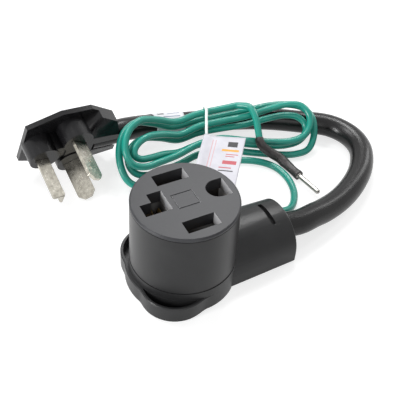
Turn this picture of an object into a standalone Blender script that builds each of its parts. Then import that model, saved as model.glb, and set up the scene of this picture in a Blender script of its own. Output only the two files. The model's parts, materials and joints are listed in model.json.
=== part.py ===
"""Adapter cord: right-angle four-slot socket, power cord, three-blade plug and tied ground wire."""
from math import ceil, cos, pi, radians, sin, sqrt

import bmesh
import bpy
import numpy as np
from mathutils import Euler

# ---- driving sizes, metres and degrees; +Z up, table at z = 0, +X along the socket's neck ----
GAP = 0.0003  # clearance between pieces that touch
FACE_R = 0.0270  # socket face
SOCKET_H = 0.0530
SPLIT_Z = 0.0147  # parting line of body and rear cover
SHELL_DRAFT = 0.00034
SPLIT_R = FACE_R + SHELL_DRAFT
BASE_FLARE = 0.00046
BASE_R = SPLIT_R + BASE_FLARE
BASE_EDGE = 0.0006
BAND_STEP = 0.0003  # band stands out past the body above it
SHELL_WALL = 0.0020
FACE_RIM_T = 0.0018
FACE_T = 0.0070
FACE_CHAMFER = 0.0007
PANEL_X = 0.0115  # outlined panel in the middle of the face
PANEL_Y = 0.0100
PANEL_LINE = 0.0005
PANEL_DEPTH = 0.0003
LEDGE_W = 0.0015
LEDGE_Z = 0.0267
CUP_FLOOR = 0.0035
CUP_WALL = 0.0020
CUP_RISE = 0.0030  # register above the parting line

HOT_Y = 0.0173  # straight slots, along X
HOT_L = 0.0170
HOT_W = 0.0076
ELL_X = (-0.0220, -0.0160, -0.0083)  # L slot
ELL_Y = (-0.0035, 0.0044, 0.0102)
DEE_X = 0.0230  # flat side of the ground slot
DEE_Y = 0.0006
DEE_R = 0.0060
DEE_DEPTH = 0.0112

LIP_REACH = 0.0060  # finger lip, two lobes opposite the neck, past the band
LIP_MIDDLE = 0.0019  # past the band between the lobes
LIP_LOBE_OUT = 0.0163
LIP_LOBE_R = BASE_R + LIP_REACH - LIP_LOBE_OUT
LIP_LOBE_ANG = 50.0
LIP_TOP = 0.0100
LIP_RIM = 0.0015
LIP_FLOOR = 0.0030
LIP_BLEND = 0.0030
LIP_SINK = 0.0002  # lip starts inside the band
LIP_FOOT = 0.0008
LIP_ROUND = 0.0005
LIP_SPAN = 125.0
POCKET_HALF = 30.0  # degrees either side of a lobe's middle

NECK_REACH = 0.0590
NECK_ROOT = 0.0210
NECK_HALF_ROOT = 0.0204
NECK_HALF_END = 0.01856
NECK_TOP = 0.0240
NECK_WALL_Z = 0.0054
NECK_POWER = 2.16
NECK_ROUND = 0.0011
NECK_FOOT = 0.0008
RELIEF_X = 0.0490  # slot across the neck's top
RELIEF_L = 0.0164
RELIEF_W = 0.0024
RELIEF_DEPTH = 0.0032

CORD_D = 0.0140
WIRE_D = 0.0042
LEAD_D = 0.0040
CORE_Y = 0.0029  # cores in the jacket: two low, one high
CORE_DROP = 0.0017
CORE_RISE = 0.0033
EXIT_Y = -0.0023
EXIT_Z = 0.0120
WIRE_EXIT_Y = 0.0087
JACKET_X = 0.0300  # jacket end inside the neck
WIRE_IN_X = 0.0380
CONTACT_T = 0.0008
CONTACT_L = 0.0110
CONTACT_Z = 0.0306
CONTACT_H = 0.0125
CONTACT_HALF = 0.0030
TAIL_R = 0.0016
TAIL_Z = 0.0235
CARRIER_Z = 0.0270
CARRIER_FLOOR = 0.0030
SLEEVE_R = 0.0046
SLEEVE_BORE = 0.0032

PLUG_AT = (-0.0245, 0.0904, 0.0200)  # blade root plane, midway between the hot blades
PLUG_TURN = (111.195, 7.781, 6.133)
PLATE_BACK = -0.0145
PLATE_T = 0.0030
PLATE_C = (-0.0274, -0.0078, 0.0103, 0.0269)
PLATE_S = (0.0154, 0.0236, 0.0236, 0.0127)
LOBE_R = 0.0088
LOBE_DRAFT = 0.0003
LOBE_C = -0.0187
HOT_S = 0.0100
WEB_HALF = 0.0062
PLUG_NECK_B = (-0.0065, -0.0008)
PLUG_NECK_IN = 0.0020
PLUG_NECK_MID = 0.0150
PLUG_NECK_S = (0.0135, 0.0205)
PLUG_NECK_TOP_S = (0.0100, 0.0095, 0.0078)
PLUG_CORD_B = -0.0074
PLUG_CORD_IN = 0.0120
PLUG_CORE_DROP = 0.0014
PLUG_CORE_RISE = 0.0018
CAVITY_R = 0.0062
CAVITY_B = (-0.0120, -0.0030)
BRIDGE_T = 0.0027
BLADE_L = 0.0250
BLADE_W = 0.0105
BLADE_T = 0.0018
BLADE_TILT = 30.0
BLADE_TAIL_W = 0.0065
BLADE_TAIL = 0.0100
BLADE_TIP = 0.0030
DIMPLE_R = 0.0009
DIMPLE_B = 0.0130
ELL_BLADE_C = (-0.0240, -0.0168)
ELL_BLADE_S = -0.0072
ELL_TIP = 0.0010
ELL_TRIM = 0.0013

HANK_AT = (0.0580, 0.0840)  # middle of the waist
HANK_TURN = -13.9
HANK_TURNS = 3.42
HANK_START = 231.6
LAYER_TURNS = 2.0
HANK_LEFT = 0.0480  # reach of the innermost loop
HANK_RIGHT = 0.0600
HANK_STEP = 0.0050
HANK_WAIST = 0.0014
HANK_WAIST_STEP = 0.0056
HANK_SWELL = (0.0058, 0.0100)  # left, right
HANK_SWELL_STEP = (0.0085, 0.0105)
HANK_SAG = (-0.0200, -0.0048)
SAG_POWER = 1.1
LAYER_RISE = 0.0074
LEAN = 0.90  # slope of the loops that lean on the cord
TIE_D = 0.0018

# routes, relative to the socket's axis
CORD_ROUTE = ((0.059, -0.0023, 0.012), (0.070, -0.003, 0.011), (0.080, -0.001, 0.010),
              (0.089, 0.001, 0.0085), (0.104, 0.006, 0.0073), (0.119, 0.014, 0.0073),
              (0.132, 0.025, 0.0073), (0.141, 0.039, 0.0073), (0.142, 0.052, 0.0073),
              (0.136, 0.065, 0.0073), (0.121, 0.076, 0.0073), (0.101, 0.088, 0.0073),
              (0.083, 0.0955, 0.0073), (0.065, 0.1005, 0.0075), (0.050, 0.104, 0.0080),
              (0.037, 0.1055, 0.0095), (0.0245, 0.1042, 0.0135))
# ground wire: neck to hank, hank to sleeve, sleeve, pin
WIRE_ROUTE = ((0.059, WIRE_EXIT_Y, 0.012), (0.066, 0.0092, 0.0096), (0.074, 0.0125, 0.0056),
              (0.081, 0.019, 0.0030), (0.086, 0.027, 0.0024), (0.0885, 0.038, 0.0024),
              (0.0872, 0.0480, 0.0024), (0.0825, 0.0555, 0.0024), (0.0745, 0.0615, 0.0024),
              (0.0640, 0.0655, 0.0024), (0.0520, 0.0670, 0.0024), (0.0410, 0.0668, 0.0024),
              (0.0315, 0.0658, 0.0026))
TAIL_ROUTE = ((0.0822, 0.0862, 0.0245), (0.0849, 0.0828, 0.0254), (0.0855, 0.0785, 0.0245),
              (0.0848, 0.0725, 0.0215), (0.0832, 0.0662, 0.0172), (0.0820, 0.0608, 0.0136),
              (0.0868, 0.0572, 0.0082), (0.0914, 0.0536, 0.0052), (0.0934, 0.0478, 0.0038),
              (0.0943, 0.0415, 0.0036), (0.0952, 0.0357, 0.0036))
PIN_L = 0.0175
PIN_R = 0.0015
PIN_BARREL_R = 0.0022
PIN_BARREL_L = 0.0060
SHRINK_T = 0.0007
SHRINK_L = 0.0370
LABEL_L = 0.0220
LABEL_T = 0.0004
LABEL_AT = 0.0400  # x of the label's middle
TIE_TAIL = 0.0400
TIE_TWIST = 0.00115
TIE_PITCH = 0.0105
TAG_AT = (0.0526, 0.0760, 0.0196)  # top of the fold, on the tie's tail
TAG_TURN = (7.0, -5.7, -38.6)
TAG_START = 0.0015
TAG_L = 0.0400
TAG_W = 0.0240
TAG_T = 0.0006


def smooth_line(route, step):
    """Centripetal Catmull-Rom curve through the route, resampled evenly."""
    p = np.array(route, dtype=float)
    p = np.vstack([2 * p[0] - p[1], p, 2 * p[-1] - p[-2]])
    fine = []
    for a, b, c, d in zip(p[:-3], p[1:-2], p[2:-1], p[3:]):
        t1 = sqrt(np.linalg.norm(b - a))
        t2 = t1 + sqrt(np.linalg.norm(c - b))
        t3 = t2 + sqrt(np.linalg.norm(d - c))
        for t in np.linspace(t1, t2, 24, endpoint=False):
            ab = a + (b - a) * t / t1
            bc = b + (c - b) * (t - t1) / (t2 - t1)
            cd = c + (d - c) * (t - t2) / (t3 - t2)
            abc = ab + (bc - ab) * t / t2
            bcd = bc + (cd - bc) * (t - t1) / (t3 - t1)
            fine.append(abc + (bcd - abc) * (t - t1) / (t2 - t1))
    fine.append(p[-2])
    return even(fine, step)


def even(line, step):
    line = np.array(line)
    reach = np.concatenate([[0], np.cumsum(np.linalg.norm(np.diff(line, axis=0), axis=1))])
    at = np.linspace(0, reach[-1], max(2, int(ceil(reach[-1] / step)) + 1))
    return np.stack([np.interp(at, reach, line[:, i]) for i in range(3)], axis=1)


def lean_height(x, y, cord):
    """Height of a strand that rests on the table or leans on the cord beside it."""
    ride = CORD_D / 2 + WIRE_D / 2 + TIE_D + 2 * GAP
    d = np.hypot(cord[:, 0] - x, cord[:, 1] - y)
    near = ride * LEAN / sqrt(1 + LEAN ** 2)
    over = np.sqrt(np.maximum(ride ** 2 - np.minimum(d, near) ** 2, 0))
    top = np.max(cord[:, 2] + over - LEAN * np.maximum(d - near, 0))
    off = np.hypot(x - HANK_AT[0], y - HANK_AT[1])
    low = WIRE_D / 2 + GAP + (TIE_D + 4 * GAP) * np.exp(-(off / 0.020) ** 2)
    return low + (top - low + sqrt((top - low) ** 2 + 0.003 ** 2)) / 2


def hank_point(turn, cord):
    ring = abs(LAYER_TURNS - turn)
    t = radians(HANK_START) - 2 * pi * turn
    side = 0 if cos(t) < 0 else 1
    reach = (HANK_LEFT, HANK_RIGHT)[side] + HANK_STEP * ring
    u = reach * cos(t)
    swell = HANK_SWELL[side] + HANK_SWELL_STEP[side] * ring
    fall = abs(cos(t)) ** SAG_POWER
    v = sin(t) * (HANK_WAIST + HANK_WAIST_STEP * ring + swell * cos(t) ** 2) + HANK_SAG[side] * fall
    a = radians(HANK_TURN)
    x = HANK_AT[0] + u * cos(a) - v * sin(a)
    y = HANK_AT[1] + u * sin(a) + v * cos(a)
    climb = min(max((turn - LAYER_TURNS + 0.25) / 0.5, 0), 1)
    rise = LAYER_RISE * climb * climb * (3 - 2 * climb)
    return np.array([x, y, lean_height(x, y, cord) + rise])


def hank_line(cord):
    steps = int(HANK_TURNS * 24)
    line = [hank_point(HANK_TURNS * i / steps, cord) for i in range(steps + 1)]
    first = line[0] - line[1]
    last = line[-1] - line[-2]
    line.insert(0, line[0] + first / np.linalg.norm(first) * WIRE_D)
    line.append(line[-1] + last / np.linalg.norm(last) * WIRE_D)
    return np.array(line)


def self_gap(line, across):
    """Least gap of a wound tube to itself, measured between runs of its centre line."""
    fine = even(line, 0.001)
    apart = int(ceil(3.2 * across / 0.001))
    least = 1.0
    for i in range(len(fine) - apart):
        least = min(least, np.min(np.linalg.norm(fine[i + apart:] - fine[i], axis=1)))
    return least - across


def stretch(line, start, end, step):
    """Part of a line between two distances along it."""
    reach = np.concatenate([[0], np.cumsum(np.linalg.norm(np.diff(line, axis=0), axis=1))])
    at = np.linspace(start, end, max(2, int(ceil((end - start) / step)) + 1))
    return np.stack([np.interp(at, reach, line[:, i]) for i in range(3)], axis=1)


def run_length(line):
    return float(np.sum(np.linalg.norm(np.diff(line, axis=0), axis=1)))


# ---- build ----
for old in list(bpy.data.objects):
    bpy.data.objects.remove(old, do_unlink=True)

scene = bpy.context.scene
pieces = bpy.data.collections.new("pieces")
tools = bpy.data.collections.new("tools")
scene.collection.children.link(pieces)
scene.collection.children.link(tools)


def frame_at(name, location, turn=(0, 0, 0), parent=None):
    empty = bpy.data.objects.new(name, None)
    empty.location = location
    empty.rotation_euler = [radians(a) for a in turn]
    empty.parent = parent
    pieces.objects.link(empty)
    return empty


def coat(obj, colour, rough, metal):
    mat = bpy.data.materials.new(obj.name + "_mat")
    mat.use_nodes = True
    shader = mat.node_tree.nodes["Principled BSDF"]
    shader.inputs["Base Color"].default_value = (*colour, 1)
    shader.inputs["Roughness"].default_value = rough
    shader.inputs["Metallic"].default_value = metal
    mat.diffuse_color = (*colour, 1)
    obj.data.materials.append(mat)


GREY = ((0.055, 0.056, 0.060), 0.5, 0)
FACE_GREY = ((0.14, 0.14, 0.15), 0.5, 0)
BLACK = ((0.015, 0.015, 0.016), 0.5, 0)
BAKELITE = ((0.03, 0.025, 0.022), 0.4, 0)
NICKEL = ((0.70, 0.67, 0.60), 0.3, 1)
BRASS = ((0.75, 0.55, 0.22), 0.3, 1)
GREEN = ((0.02, 0.35, 0.25), 0.45, 0)
RED = ((0.45, 0.03, 0.02), 0.5, 0)
WHITE = ((0.80, 0.80, 0.82), 0.5, 0)


def solid(name, rings, parent, look=None):
    """Closed body through a row of rings of equal count, capped at both ends."""
    count = len(rings[0])
    verts = [p for ring in rings for p in ring]
    faces = []
    for k in range(len(rings) - 1):
        for i in range(count):
            j = (i + 1) % count
            a = k * count
            faces.append((a + i, a + j, a + count + j, a + count + i))
    faces.append(tuple(reversed(range(count))))
    faces.append(tuple(range(len(verts) - count, len(verts))))
    return body(name, verts, faces, parent, look)


def body(name, verts, faces, parent, look):
    mesh = bpy.data.meshes.new(name)
    mesh.from_pydata([tuple(v) for v in verts], [], faces)
    mesh.update()
    obj = bpy.data.objects.new(name, mesh)
    obj.parent = parent
    if look:
        pieces.objects.link(obj)
        coat(obj, *look)
    else:
        tools.objects.link(obj)
        obj.hide_render = True
        obj.display_type = "WIRE"
    shape = bmesh.new()
    shape.from_mesh(mesh)
    bmesh.ops.recalc_face_normals(shape, faces=shape.faces)
    shape.to_mesh(mesh)
    shape.free()
    return obj


def circle(radius, z, x=0.0, y=0.0, count=48):
    return [(x + radius * cos(2 * pi * i / count), y + radius * sin(2 * pi * i / count), z)
            for i in range(count)]


def turned(name, profile, parent, look=None, x=0.0, y=0.0, count=48):
    """Round body from (radius, z) pairs, low to high."""
    return solid(name, [circle(r, z, x, y, count) for r, z in profile], parent, look)


def along_x(name, radius, x0, x1, y, z, parent, look=None, count=24):
    rings = [[(x, y + radius * cos(2 * pi * i / count), z + radius * sin(2 * pi * i / count))
              for i in range(count)] for x in (x0, x1)]
    return solid(name, rings, parent, look)


def prism(name, outline, z0, z1, parent, look=None):
    return solid(name, [[(x, y, z) for x, y in outline] for z in (z0, z1)], parent, look)


def block(name, low, high, parent, look=None):
    outline = ((low[0], low[1]), (high[0], low[1]), (high[0], high[1]), (low[0], high[1]))
    return prism(name, outline, low[2], high[2], parent, look)


def combine(obj, other, operation):
    mod = obj.modifiers.new(operation.lower(), "BOOLEAN")
    mod.operation = operation
    mod.solver = "EXACT"
    mod.object = other


def cut(obj, *others):
    for other in others:
        combine(obj, other, "DIFFERENCE")


def join(obj, *others):
    for other in others:
        combine(obj, other, "UNION")


def tube(name, points, diameter, parent, look, resolution=3):
    curve = bpy.data.curves.new(name, "CURVE")
    curve.dimensions = "3D"
    curve.bevel_depth = diameter / 2
    curve.bevel_resolution = resolution
    curve.use_fill_caps = True
    spline = curve.splines.new("POLY")
    spline.points.add(len(points) - 1)
    for point, at in zip(spline.points, points):
        point.co = (*at, 1)
    obj = bpy.data.objects.new(name, curve)
    obj.parent = parent
    pieces.objects.link(obj)
    coat(obj, *look)
    return obj


def wrap(name, points, outer, inner, parent, look, count=16):
    """Sleeve round a line, out along it and back inside."""
    points = np.array(points)
    side = np.gradient(points, axis=0)
    side /= np.linalg.norm(side, axis=1)[:, None]
    up = np.cross(side[0], (0.0, 0.0, 1.0))
    up /= np.linalg.norm(up)
    rows = []
    for p, t in zip(points, side):
        up = up - t * np.dot(up, t)
        up /= np.linalg.norm(up)
        over = np.cross(t, up)
        rows.append((p, up, over))
    order = [(row, outer) for row in rows]
    order += [(row, inner) for row in reversed(rows)]
    verts = []
    for (p, up, over), r in order:
        for i in range(count):
            a = 2 * pi * i / count
            verts.append(p + r * (cos(a) * up + sin(a) * over))
    faces = []
    for k in range(len(order)):
        n = (k + 1) % len(order)
        for i in range(count):
            j = (i + 1) % count
            faces.append((k * count + i, k * count + j, n * count + j, n * count + i))
    return body(name, verts, faces, parent, look)


# ---- socket ----
axis_x = (BASE_R + LIP_MIDDLE - NECK_REACH) / 2
socket = frame_at("socket_axis", (axis_x, 0, 0))


def neck_ring(x, half, top, inset=0.0):
    """Neck section: flat foot, straight walls, domed top."""
    wide = half - inset
    high = top - inset
    ring = [(x, -(wide - NECK_FOOT), inset), (x, -wide, NECK_FOOT + inset)]
    steps = 26
    for i in range(steps + 1):
        a = pi - pi * i / steps
        side = abs(cos(a)) ** (2 / NECK_POWER) * (1 if cos(a) > 0 else -1)
        rise = abs(sin(a)) ** (2 / NECK_POWER)
        ring.append((x, wide * side, NECK_WALL_Z + (high - NECK_WALL_Z) * rise))
    ring += [(x, wide, NECK_FOOT + inset), (x, wide - NECK_FOOT, inset)]
    return ring


def neck(name, grow, x0, x1, rounded):
    slope = (NECK_HALF_END - NECK_HALF_ROOT) / (NECK_REACH - NECK_ROOT)
    half0 = NECK_HALF_ROOT + slope * (x0 - NECK_ROOT) + grow
    half1 = NECK_HALF_ROOT + slope * (x1 - NECK_ROOT) + grow
    rings = [neck_ring(x0, half0, NECK_TOP + grow)]
    if rounded:
        for a in (0, 30, 60, 90):
            back = NECK_ROUND * (1 - sin(radians(a)))
            inset = NECK_ROUND * (1 - cos(radians(a)))
            rings.append(neck_ring(x1 - back, half1, NECK_TOP, inset))
    else:
        rings.append(neck_ring(x1, half1, NECK_TOP + grow))
    return solid(name, rings, socket)


inner_r = FACE_R - SHELL_WALL
insert_r = inner_r - GAP
cup_in = insert_r - CUP_WALL
above_face = SOCKET_H + 0.005
rim_z = SOCKET_H - FACE_RIM_T - GAP
shell = turned("socket_body", [(SPLIT_R, SPLIT_Z + GAP), (FACE_R, rim_z)], socket, GREY, count=72)
join(shell, neck("neck_form", 0.0, 0.014, NECK_REACH, True))
cut(shell, turned("shell_low", [(inner_r, -0.002), (inner_r, SPLIT_Z + CUP_RISE + GAP)], socket),
    turned("shell_ledge", [(inner_r - LEDGE_W, 0.010), (inner_r - LEDGE_W, 0.040)], socket),
    turned("shell_high", [(inner_r, LEDGE_Z), (inner_r, above_face)], socket),
    along_x("cord_bore", CORD_D / 2 + GAP, 0.018, NECK_REACH + 0.003, EXIT_Y, EXIT_Z, socket, count=32),
    along_x("wire_bore", WIRE_D / 2 + GAP, 0.018, NECK_REACH + 0.003, WIRE_EXIT_Y, EXIT_Z, socket))
relief_end = RELIEF_L / 2 - RELIEF_W / 2
relief = []
for i in range(17):
    a = pi * i / 16
    relief.append((RELIEF_X + RELIEF_W / 2 * cos(a), relief_end + RELIEF_W / 2 * sin(a)))
for i in range(17):
    a = pi + pi * i / 16
    relief.append((RELIEF_X + RELIEF_W / 2 * cos(a), -relief_end + RELIEF_W / 2 * sin(a)))
cut(shell, prism("relief_slot", relief, NECK_TOP - RELIEF_DEPTH, NECK_TOP + 0.006, socket))

# rear cover: band, register cup and finger lip
cover = turned("rear_cover", [(BASE_R - BASE_EDGE, 0.0), (BASE_R, BASE_EDGE), (SPLIT_R + BAND_STEP, SPLIT_Z)],
               socket, GREY, count=72)


def lip_radius(angle, shrink=0.0):
    """Plan radius of the two-lobe lip, angle in radians from -X."""
    lobe = radians(LIP_LOBE_ANG)
    best = BASE_R + LIP_MIDDLE - shrink if abs(angle) < lobe else 0.0
    r = LIP_LOBE_R - shrink
    for centre in (lobe, -lobe):
        d = angle - centre
        inside = r * r - (LIP_LOBE_OUT * sin(d)) ** 2
        if inside > 0:
            best = max(best, LIP_LOBE_OUT * cos(d) + sqrt(inside))
    base = BASE_R - LIP_SINK - shrink
    gap = best - base
    return base + (gap + sqrt(gap * gap + (LIP_BLEND / 2) ** 2)) / 2


def lip_outline(shrink=0.0):
    outline = []
    for i in range(96):
        a = -pi + 2 * pi * i / 96
        r = lip_radius(a, shrink) if abs(a) < radians(LIP_SPAN) else cup_in
        outline.append((-r * cos(a), -r * sin(a)))
    return outline


lip_rings = ((LIP_FOOT, 0.0), (0.0, LIP_FOOT), (0.0, LIP_TOP - LIP_ROUND), (LIP_ROUND, LIP_TOP))
lip = solid("lip_form", [[(x, y, z) for x, y in lip_outline(shrink)] for shrink, z in lip_rings], socket)
join(cover, lip)


def pocket(name, side):
    """Finger pocket between the band and the lip's rim."""
    outer = []
    inner = []
    for i in range(25):
        a = radians(LIP_LOBE_ANG - POCKET_HALF + 2 * POCKET_HALF * i / 24)
        r_out = lip_radius(a, LIP_RIM)
        r_in = min(BASE_R + GAP / 3, r_out - GAP)
        outer.append((-r_out * cos(a), side * r_out * sin(a)))
        inner.append((-r_in * cos(a), side * r_in * sin(a)))
    outline = outer + inner[::-1]
    if side > 0:
        outline = outline[::-1]
    return prism(name, outline, LIP_FLOOR, LIP_TOP + 0.003, socket)


cut(cover, pocket("pocket_left", 1), pocket("pocket_right", -1),
    neck("neck_gap", GAP, 0.012, NECK_REACH + 0.005, False))
join(cover, turned("cup", [(insert_r, 0.0), (insert_r, SPLIT_Z + CUP_RISE)], socket, count=72))
way = (cup_in - CORD_D / 2, BASE_R + CORD_D / 2)
cut(cover, turned("cup_bore", [(cup_in, CUP_FLOOR), (cup_in, SPLIT_Z + 2 * CUP_RISE)], socket),
    along_x("cup_cord_way", CORD_D / 2 + GAP, *way, EXIT_Y, EXIT_Z, socket, count=32),
    along_x("cup_wire_way", WIRE_D / 2 + 2 * GAP, *way, WIRE_EXIT_Y, EXIT_Z, socket))

# face with its four openings
carrier_top = SOCKET_H - FACE_T - GAP
hot_half = (HOT_L / 2, HOT_W / 2)


def ell_outline(grow=0.0):
    return ((ELL_X[0] - grow, ELL_Y[0] - grow), (ELL_X[2] + grow, ELL_Y[0] - grow),
            (ELL_X[2] + grow, ELL_Y[2] + grow), (ELL_X[1] - grow, ELL_Y[2] + grow),
            (ELL_X[1] - grow, ELL_Y[1] + grow), (ELL_X[0] - grow, ELL_Y[1] + grow))


def dee_outline(grow=0.0):
    middle = DEE_X - DEE_DEPTH + DEE_R
    outline = [(DEE_X + grow, DEE_Y - DEE_R - grow), (DEE_X + grow, DEE_Y + DEE_R + grow)]
    for i in range(17):
        a = pi / 2 + pi * i / 16
        outline.append((middle + (DEE_R + grow) * cos(a), DEE_Y + (DEE_R + grow) * sin(a)))
    return outline


def openings(obj, prefix, z0, z1, grow=0.0):
    for name, side in (("hot_x", 1), ("hot_y", -1)):
        low = (-hot_half[0] - grow, side * HOT_Y - hot_half[1] - grow, z0)
        high = (hot_half[0] + grow, side * HOT_Y + hot_half[1] + grow, z1)
        cut(obj, block(prefix + name, low, high, socket))
    cut(obj, prism(prefix + "ell", ell_outline(grow), z0, z1, socket))
    cut(obj, prism(prefix + "dee", dee_outline(grow), z0, z1, socket))


face = turned("socket_face", [(insert_r, SOCKET_H - FACE_T), (insert_r, SOCKET_H - FACE_RIM_T),
                              (FACE_R, SOCKET_H - FACE_RIM_T), (FACE_R, SOCKET_H - FACE_CHAMFER),
                              (FACE_R - FACE_CHAMFER, SOCKET_H)], socket, FACE_GREY, count=72)
openings(face, "face_", carrier_top - 0.005, above_face)
line_low = SOCKET_H - PANEL_DEPTH
panel = []
for name, gx, gy in (("panel_a", 1, 0), ("panel_b", -1, 0), ("panel_c", 0, 1), ("panel_d", 0, -1)):
    half_x = PANEL_LINE / 2 if gx else PANEL_X / 2
    half_y = PANEL_LINE / 2 if gy else PANEL_Y / 2 - PANEL_LINE
    cx = gx * (PANEL_X / 2 - PANEL_LINE / 2)
    cy = gy * (PANEL_Y / 2 - PANEL_LINE / 2)
    panel.append(block(name, (cx - half_x, cy - half_y, line_low),
                       (cx + half_x, cy + half_y, SOCKET_H + 0.005), socket))
cut(face, *panel)

# contact carrier and contacts
carrier = turned("contact_carrier", [(insert_r, CARRIER_Z), (insert_r, carrier_top)], socket, BAKELITE)
openings(carrier, "carrier_", CARRIER_Z + CARRIER_FLOOR, above_face)
ell_mid = ((ELL_X[1] + ELL_X[2]) / 2, (ELL_Y[0] + ELL_Y[2]) / 2)
dee_mid = (DEE_X - DEE_DEPTH / 2 + 0.0002, DEE_Y)
tail_at = {"hot_x": (0.0, HOT_Y), "hot_y": (0.0, -HOT_Y), "neutral": ell_mid, "ground": dee_mid}
for name, (x, y) in tail_at.items():
    cut(carrier, turned("tail_hole_" + name, [(TAIL_R + GAP, 0.020), (TAIL_R + GAP, 0.040)], socket,
                        x=x, y=y, count=16))


def strip_outline(path, thick):
    """Outline of a bent strip of even thickness round its middle line."""
    path = np.array(path)
    run = np.diff(path, axis=0)
    run /= np.linalg.norm(run, axis=1)[:, None]
    left = np.stack([-run[:, 1], run[:, 0]], axis=1)
    one = []
    two = []
    for i, p in enumerate(path):
        a = left[max(i - 1, 0)]
        b = left[min(i, len(left) - 1)]
        mitre = (a + b) / (1 + np.dot(a, b))
        one.append(p + mitre * thick / 2)
        two.append(p - mitre * thick / 2)
    return one + two[::-1]


spring = ((-0.0022, 1.0), (-0.0011, 0.80), (-0.0028, 0.35), (-CONTACT_HALF, 0.0), (CONTACT_HALF, 0.0),
          (0.0028, 0.35), (0.0011, 0.80), (0.0022, 1.0))


def contact(name, x, y, along_y, length):
    path = [(s, CONTACT_Z + CONTACT_H * h) for s, h in spring]
    outline = strip_outline(path, CONTACT_T)
    rings = []
    for e in (-length / 2, length / 2):
        if along_y:
            rings.append([(x - s, y + e, z) for s, z in outline])
        else:
            rings.append([(x + e, y + s, z) for s, z in outline])
    obj = solid(name, rings, socket, BRASS)
    join(obj, turned(name + "_tail", [(TAIL_R, TAIL_Z), (TAIL_R, CONTACT_Z)], socket, x=x, y=y, count=16))
    return obj


contact("hot_contact_x", 0.0, HOT_Y, False, CONTACT_L)
contact("hot_contact_y", 0.0, -HOT_Y, False, CONTACT_L)
contact("neutral_contact", ell_mid[0], ell_mid[1], True, CONTACT_L)
sleeve_low = CONTACT_Z - CONTACT_T / 2
sleeve = turned("ground_contact", [(SLEEVE_R, sleeve_low), (SLEEVE_R, CONTACT_Z + CONTACT_H)],
                socket, BRASS, x=dee_mid[0], y=dee_mid[1], count=32)
cut(sleeve, turned("sleeve_bore", [(SLEEVE_BORE, CONTACT_Z + CONTACT_T), (SLEEVE_BORE, 0.050)], socket,
                   x=dee_mid[0], y=dee_mid[1], count=32),
    block("sleeve_slit", (dee_mid[0] - 0.0005, dee_mid[1] - 0.006, CONTACT_Z + 0.003),
          (dee_mid[0] + 0.0005, dee_mid[1] + 0.006, 0.050), socket))
join(sleeve, turned("ground_stud", [(TAIL_R, TAIL_Z), (TAIL_R, CONTACT_Z)], socket,
                    x=dee_mid[0], y=dee_mid[1], count=16))

# leads inside the socket
lead_end = TAIL_Z - GAP
core_low = EXIT_Z - CORE_DROP
core_top = EXIT_Z + CORE_RISE
lead_x0 = JACKET_X - GAP
socket_leads = {
    "x": (BLACK, ((lead_x0, EXIT_Y + CORE_Y, core_low), (0.0240, EXIT_Y + CORE_Y, core_low),
                  (0.0180, 0.0024, 0.0088), (0.0115, 0.0070, 0.0082), (0.0045, 0.0135, 0.0096),
                  (0.0004, 0.0171, 0.0150), (0.0, HOT_Y, 0.0195), (0.0, HOT_Y, lead_end))),
    "y": (RED, ((lead_x0, EXIT_Y - CORE_Y, core_low), (0.0240, EXIT_Y - CORE_Y, core_low),
                (0.0180, -0.0064, 0.0092), (0.0110, -0.0102, 0.0084), (0.0040, -0.0148, 0.0098),
                (0.0004, -0.0171, 0.0150), (0.0, -HOT_Y, 0.0195), (0.0, -HOT_Y, lead_end))),
    "neutral": (WHITE, ((lead_x0, EXIT_Y, core_top), (0.0220, EXIT_Y, 0.0152),
                        (0.0140, -0.0022, 0.0138), (0.0040, -0.0014, 0.0108), (-0.0060, 0.0012, 0.0112),
                        (ell_mid[0] + 0.0006, ell_mid[1], 0.0158), (ell_mid[0], ell_mid[1], 0.0198),
                        (ell_mid[0], ell_mid[1], lead_end))),
    "ground": (GREEN, ((WIRE_IN_X, WIRE_EXIT_Y, EXIT_Z), (0.0300, WIRE_EXIT_Y, EXIT_Z),
                       (cup_in - 0.0012, WIRE_EXIT_Y, EXIT_Z), (cup_in - 0.0041, 0.0078, 0.0136),
                       (cup_in - 0.0050, 0.0045, 0.0166),
                       (dee_mid[0], dee_mid[1] + 0.0002, 0.0202), (dee_mid[0], dee_mid[1], lead_end))),
}
for name, (look, lead) in socket_leads.items():
    tube("socket_lead_" + name, smooth_line(lead, LEAD_D), LEAD_D, socket, look, 2)

# ---- plug ----
plug = frame_at("plug_frame", PLUG_AT, PLUG_TURN, socket)
lobes = (("a", LOBE_C, 0.0), ("b", 0.0, -HOT_S), ("c", 0.0, HOT_S))


def both_sides(cs):
    return [(c, -s) for c, s in cs] + [(c, s) for c, s in reversed(cs)]


plate_outline = both_sides(list(zip(PLATE_C, PLATE_S)))
moulding = prism("plug_body", plate_outline, PLATE_BACK, PLATE_BACK + PLATE_T, plug, BLACK)
low_b = PLATE_BACK + PLATE_T / 2
for name, c, s in lobes:
    lobe = [(LOBE_R + LOBE_DRAFT, low_b), (LOBE_R, 0.0)]
    join(moulding, turned("lobe_" + name, lobe, plug, x=c, y=s, count=40))
join(moulding, block("web_hot", (-WEB_HALF, -HOT_S, low_b), (WEB_HALF, HOT_S, -0.0006), plug),
     block("web_neutral", (LOBE_C, -WEB_HALF, low_b), (0.0, WEB_HALF, -0.0012), plug))
neck_c = (PLUG_NECK_IN, PLUG_NECK_MID, PLATE_C[3])
shoulder = both_sides(list(zip(neck_c, (*PLUG_NECK_S, PLATE_S[3]))))
crest = both_sides(list(zip(neck_c, PLUG_NECK_TOP_S)))
join(moulding, solid("plug_neck", [[(c, s, PLATE_BACK) for c, s in shoulder],
                                   [(c, s, PLUG_NECK_B[0]) for c, s in shoulder],
                                   [(c, s, PLUG_NECK_B[1]) for c, s in crest]], plug))
for name, c, s in lobes:
    cut(moulding, turned("hollow_" + name, [(CAVITY_R, CAVITY_B[0]), (CAVITY_R, CAVITY_B[1])], plug,
                         x=c, y=s, count=32))
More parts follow.
